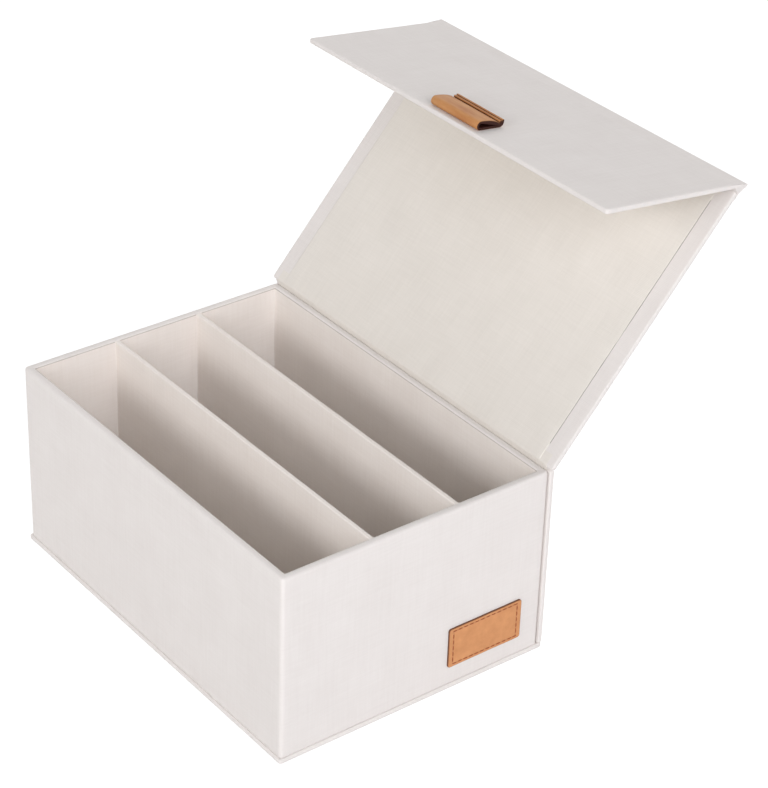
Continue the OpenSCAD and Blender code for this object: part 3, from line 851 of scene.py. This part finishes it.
def makePull():
    t, tail = pull["thick"], pull["tailHeight"]
    nose = pull["loopHeight"] / 2
    eye = Vector((pull["loopEdge"] + nose, nose))
    root = Vector((pull["loopEdge"] + pull["loopReach"], t))
    # the opening: a circle, and two lines that touch it and meet at the pinch
    pinch = root - Vector((t, 0))
    hollow = nose - t
    middle = atan2(pinch[1] - eye[1], pinch[0] - eye[0])
    spread = acos(hollow / (pinch - eye).length)
    inner = arcPoints(eye, hollow, degrees(middle + spread), degrees(middle - spread) + 360,
                      22) + [pinch]
    # the loop's upper side bulges a little between the nose and the notch at the tail
    outer = [root + Vector(spot) for spot in ((-0.12, 0.5), (-0.3, 1.15), (-0.7, 1.5))]
    # the notch at the foot of the tail is darkened with the edge colour: painted shade
    edge = [1.0, 0.5, 0.0]
    bulge = curvePoints(outer[-1], outer[-1] + Vector((-2.6, 1.5)), eye + Vector((5.0, nose)),
                        eye + Vector((0, nose)), 12)
    nosePath = arcPoints(eye, nose, 90, 270, 24)
    bend = arcPoints((root[0], 2 * t), 2 * t, 270, 360, 8)
    outer += bulge + nosePath + bend
    edge += [0.0] * len(bulge + nosePath) + [0.1] * len(bend)
    seam, seamFoot = pull["tailSeam"] / 2, 2 * t - 0.6
    low = tail - pull["tailStep"]

    def cutCorner(x, top, radius, start):
        side = 1 if start else -1
        return arcPoints((x + side * radius, top - radius), radius, start, start + 90, 3)

    # the tail's two cut ends, rounded a little and edge-painted, and the seam between them and
    # the groove in front of the tail, darkened as painted shade
    for spots, value in (
            (cutCorner(root[0] + 2 * t, tail, 0.35, 0), 0.05),
            (cutCorner(root[0] + t + seam, tail, 0.25, 90), 0.1),
            ([Vector((root[0] + t + seam, low))], 0.8),
            ([Vector((root[0] + t + seam, seamFoot)),
              Vector((root[0] + t - seam, seamFoot))], 1.0),
            (cutCorner(root[0] + t - seam, low, 0.25, 0), 0.2),
            (cutCorner(root[0], low, 0.3, 90), 0.05),
            ([root + Vector((0.02, 1.3)), root + Vector((0.02, 0.5))], 0.9)):
        outer += spots
        edge += [value] * len(spots)
    halfWidth, bevel = pull["width"] / 2, pull["bevel"]
    # the leather lies to the left of both outlines
    points, values, faces = [], [], []
    stations = [(-halfWidth, 1), (-halfWidth + bevel * 0.3, 0.3), (-halfWidth + bevel, 0)]
    stations += [(x, 0) for x in (-12, -4, 4, 12)]
    stations += [(-x, share) for x, share in reversed(stations[:3])]
    # the hollow inside the loop takes the full dark edge colour: painted shade
    for outline, marks in ((outer, edge), (inner[::-1], [1.0] * len(inner))):
        base = len(points)
        for x, share in stations:
            ring = insetOutline(outline, bevel * share)
            for spot, mark in zip(ring, marks):
                points.append((x, spot[0], spot[1]))
                values.append(max(mark, min(1.0, share * 1.6)))
        faces += [tuple(base + i for i in f)
                  for f in bridgeRings(len(outline), len(stations), False)]
    # cut ends with the opening of the loop in them
    count, holes = len(outer), len(inner)
    base = count * len(stations)
    for k in (0, len(stations) - 1):
        rings = [list(range(k * count, (k + 1) * count)),
                 list(range(base + k * holes, base + (k + 1) * holes))]
        flat = rings[0] + rings[1]
        loops = [[Vector((points[i][1], points[i][2], 0)) for i in ring] for ring in rings]
        faces += [tuple(flat[i] for i in tri) for tri in tessellate_polygon(loops)]
    place = flapFrame @ Matrix.Translation((0, -case["flapLength"] / 2, halfPanel))
    return finishMesh("leatherPull", points, faces, pullLeather, None, place, values)


finishPiece(makePull(), "flap", "pull_leather", "leather_pull")
print("pull made")

# the label: a bare leather patch, sewn on all round
label = {
    "length": 49.5, "height": 25.0, "thick": 1.2, "corner": 1.6,
    "middle": (47.05, 26.8),            # along the wall and up
    "edgeRound": 0.3,
    "seamEnds": 3.0, "seamRows": 1.8,   # how far the seam lies in from the edges
    "groove": 0.14,                     # how deep the seam pulls the leather in
    "pitch": 3.8, "stitch": 2.6, "thread": 0.6, "threadRise": 0.25,
}
labelFrame = Matrix(((0, 0, 1, tray["length"] / 2), (1, 0, 0, label["middle"][0]),
                     (0, 1, 0, label["middle"][1]), (0, 0, 0, 1)))


def roundedLoop(width, height, radius):
    # points round a rectangle with round corners, as many at any size
    points = []
    halfX, halfY = width / 2 - radius, height / 2 - radius
    arcs = [arcPoints((sx * halfX, sy * halfY), radius, start, start + 90, 5)
            for sx, sy, start in corners]
    for index, arc in enumerate(arcs):
        count = 40 if index % 2 else 20     # the long sides are cut finer
        goal = arcs[(index + 1) % 4][0]
        points += arc + [arc[-1].lerp(goal, k / count) for k in range(1, count)]
    return points


def makeLabel():
    t, r, groove = label["thick"], label["edgeRound"], label["groove"]
    ex, ey = label["seamEnds"], label["seamRows"]
    # each ring: insets at the ends and at the rows, height, and share of the dark edge colour:
    # edge paint round the cut edge, and darker in the seam's groove
    rings = [(0.2, 0.2, 0.02, 1), (0, 0, 0.1, 1), (0, 0, t - r, 1),
             (r * 0.13, r * 0.13, t - r * 0.5, 0.9), (r * 0.5, r * 0.5, t - r * 0.13, 0.6),
             (r, r, t, 0.25), (r + 0.3, r + 0.3, t, 0),
             (ex - 0.7, ey - 0.6, t, 0), (ex - 0.3, ey - 0.3, t - groove * 0.7, 0.15),
             (ex, ey, t - groove, 0.22), (ex + 0.3, ey + 0.3, t - groove * 0.7, 0.15),
             (ex + 0.7, ey + 0.7, t, 0), (ex + 4, ey + 4, t + 0.05, 0),
             (ex + 8, ey + 8, t + 0.08, 0)]
    points, values = [], []
    for insetX, insetY, z, mark in rings:
        for spot in roundedLoop(label["length"] - 2 * insetX, label["height"] - 2 * insetY,
                                max(label["corner"] - insetY, 0.05)):
            sway = 0.1 * noise.noise(Vector((spot[0] / 8, spot[1] / 8, 3)))
            points.append((spot[0] + sway, spot[1] + sway, z))
            values.append(mark)
    count = len(points) // len(rings)
    return finishMesh("labelPatch", points, bridgeRings(count, len(rings)), labelLeather,
                      None, labelFrame, values)


finishPiece(makeLabel(), "box", "label_leather", "label_patch")


def makeStitchTree():
    # a thread arc on every step along a path, each a little longer or shorter
    tree = bpy.data.node_groups.new("seamStitches", "GeometryNodeTree")
    for way in ("INPUT", "OUTPUT"):
        tree.interface.new_socket("Geometry", in_out=way, socket_type="NodeSocketGeometry")
    curve = addNode(tree, "GeometryNodeMeshToCurve",
                    links={"Mesh": addNode(tree, "NodeGroupInput").outputs[0]})
    spots = addNode(tree, "GeometryNodeCurveToPoints",
                    {"mode": "LENGTH", "Length": label["pitch"] * mm},
                    {"Curve": curve.outputs[0]})
    turned = addNode(tree, "FunctionNodeAlignRotationToVector",
                     {"axis": "X", "pivot_axis": "Z"}, {"Vector": spots.outputs["Tangent"]})
    arc = addNode(tree, "GeometryNodeCurveQuadraticBezier",
                  {"Resolution": 6, "Start": (-0.5, 0, -0.6), "Middle": (0, 0, 1.6),
                   "End": (0.5, 0, -0.6)})
    sized = addNode(tree, "GeometryNodeTransform",
                    {"Scale": (label["stitch"] * mm, 1, label["threadRise"] * mm)},
                    {"Geometry": arc.outputs[0]})
    ring = addNode(tree, "GeometryNodeCurvePrimitiveCircle",
                   {"Resolution": 7, "Radius": label["thread"] / 2 * mm})
    thread = addNode(tree, "GeometryNodeCurveToMesh", {"Fill Caps": True},
                     {"Curve": sized.outputs[0], "Profile Curve": ring.outputs[0]})
    smooth = addNode(tree, "GeometryNodeSetShadeSmooth", links={"Geometry": thread.outputs[0]})
    vary = addNode(tree, "FunctionNodeRandomValue", {"data_type": "FLOAT", 2: 0.88, 3: 1.08,
                                                     8: 5})
    stretch = addNode(tree, "ShaderNodeCombineXYZ", {1: 1.0, 2: 1.0}, {0: vary.outputs[1]})
    copies = addNode(tree, "GeometryNodeInstanceOnPoints",
                     links={"Points": spots.outputs["Points"], "Instance": smooth.outputs[0],
                            "Rotation": turned.outputs[0], "Scale": stretch.outputs[0]})
    real = addNode(tree, "GeometryNodeRealizeInstances", links={0: copies.outputs[0]})
    painted = addNode(tree, "GeometryNodeSetMaterial", {"Material": waxedThread},
                      {"Geometry": real.outputs[0]})
    addNode(tree, "NodeGroupOutput", links={0: painted.outputs[0]})
    return tree


def makeStitches():
    # the thread arcs along the seam, as one mesh
    seam = roundedLoop(label["length"] - 2 * label["seamEnds"],
                       label["height"] - 2 * label["seamRows"], 0.6)
    mesh = bpy.data.meshes.new("labelStitches")
    lift = label["thick"] - label["groove"] + 0.02
    mesh.from_pydata([Vector((x, y, lift)) * mm for x, y in seam],
                     [(k, (k + 1) % len(seam)) for k in range(len(seam))], [])
    piece = newObject("labelStitches", mesh)
    piece.modifiers.new("stitches", "NODES").node_group = makeStitchTree()
    graph = bpy.context.evaluated_depsgraph_get()
    made = bpy.data.meshes.new_from_object(piece.evaluated_get(graph))
    piece.modifiers.clear()
    made.transform(Matrix.Translation(labelFrame.translation * mm)
                   @ labelFrame.to_3x3().to_4x4())
    piece.data = made
    return piece


finishPiece(makeStitches(), "box", "label_leather")
print("label made")

# CAD nodes that keep their shape
for name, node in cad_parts.items():
    node.data.materials.clear()
    node.data.materials.append(nickel if name.endswith("magnets") else greyboard)


def seenDirectly(tree):
    # 1 where the camera sees it, also in a mirror or through glass, and 0 for light
    path = addNode(tree, "ShaderNodeLightPath")
    seen = path.outputs["Is Camera Ray"]
    for name in ("Is Glossy Ray", "Is Transmission Ray"):
        seen = addNode(tree, "ShaderNodeMath", {"operation": "ADD", "use_clamp": True},
                       {0: seen, 1: path.outputs[name]}).outputs[0]
    return seen


# the floor, in metres: a white paper sweep, matt, and seen as plain white
floorHalf, floorDrop = 6.0, 0.0002
floorMesh = bpy.data.meshes.new("floor")
floorMesh.from_pydata([(sx * floorHalf, sy * floorHalf, -floorDrop)
                       for sx, sy, start in corners], [], [(0, 1, 2, 3)])
newObject("floor", floorMesh)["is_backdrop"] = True
floorMaterial = bpy.data.materials.new("whitePaperSweep")
tree = emptyTree(floorMaterial)
matt = addNode(tree, "ShaderNodeBsdfDiffuse", {"Color": (0.8, 0.8, 0.8, 1)})
faint = addNode(tree, "ShaderNodeBsdfDiffuse", {"Color": (0.25, 0.25, 0.25, 1)})
glow = addNode(tree, "ShaderNodeEmission", {"Color": (1, 1, 1, 1), "Strength": 0.9})
seen = addNode(tree, "ShaderNodeAddShader", links={0: faint.outputs[0], 1: glow.outputs[0]})
mixed = addNode(tree, "ShaderNodeMixShader",
                links={0: seenDirectly(tree), 1: matt.outputs[0], 2: seen.outputs[0]})
addNode(tree, "ShaderNodeOutputMaterial", links={0: mixed.outputs[0]})
floorMesh.materials.append(floorMaterial)

scene.world = bpy.data.worlds.new("studio")
tree = emptyTree(scene.world)
# the room's light comes from its walls, with little from straight above
way = addNode(tree, "ShaderNodeTexCoord").outputs["Generated"]
split = addNode(tree, "ShaderNodeSeparateXYZ", links={0: way})
fade = addNode(tree, "ShaderNodeMapRange",
               {"From Min": 0.5, "From Max": 0.95, "To Min": 0.68, "To Max": 0.06},
               {"Value": split.outputs[2]})
ambient = addNode(tree, "ShaderNodeBackground", {"Color": (1, 1, 1, 1)},
                  {"Strength": fade.outputs[0]})
bright = addNode(tree, "ShaderNodeBackground", {"Color": (1, 1, 1, 1), "Strength": 1.0})
mixed = addNode(tree, "ShaderNodeMixShader",
                links={0: seenDirectly(tree), 1: ambient.outputs[0], 2: bright.outputs[0]})
addNode(tree, "ShaderNodeOutputWorld", links={0: mixed.outputs[0]})

lamps = (
    # name, azimuth and elevation in degrees, size m, power W, colour
    ("rightSoftbox", 76, 27, 1.9, 44, (0.95, 0.96, 1.0)),
    ("frontSoftbox", 8, 24, 0.95, 23.6, (1, 1, 1)),
    ("rearSoftbox", -140, 42, 2.2, 25, (1, 1, 1)),
)
aim, lampDistance = Vector((0, 0.04, 0.11)), 3.0    # metres
for name, azimuth, elevation, size, power, colour in lamps:
    data = bpy.data.lights.new(name, "AREA")
    data.shape, data.size, data.energy, data.color = "SQUARE", size, power, colour
    lamp = newObject(name, data)
    a, e = radians(azimuth), radians(elevation)
    away = Vector((sin(a) * cos(e), -cos(a) * cos(e), sin(e)))
    lamp.location = aim + away * lampDistance
    lamp.rotation_mode = "QUATERNION"
    lamp.rotation_quaternion = (-away).to_track_quat("-Z", "Y")

# the photo's camera, as solved from the box's corners: place in mm, axes, and lens in mm
cameraFacts = {
    "place": (969.5, -694.1, 860.5),
    "right": (0.60517, 0.79555, 0.02947),
    "up": (-0.43044, 0.29584, 0.85276),
    "back": (0.6697, -0.52875, 0.52146),
    "lens": 118.81,
}
cameraData = bpy.data.cameras.new("camera")
cameraData.sensor_width = 36
cameraData.lens = cameraFacts["lens"]
camera = newObject("camera", cameraData)
axes = [Vector(cameraFacts[k]).normalized() for k in ("right", "up", "back")]
turn = Matrix([[axes[column][row] for column in range(3)] for row in range(3)])
camera.matrix_world = Matrix.Translation(Vector(cameraFacts["place"]) * mm) @ turn.to_4x4()
scene.camera = camera
scene.view_settings.view_transform = "Standard"

low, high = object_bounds()
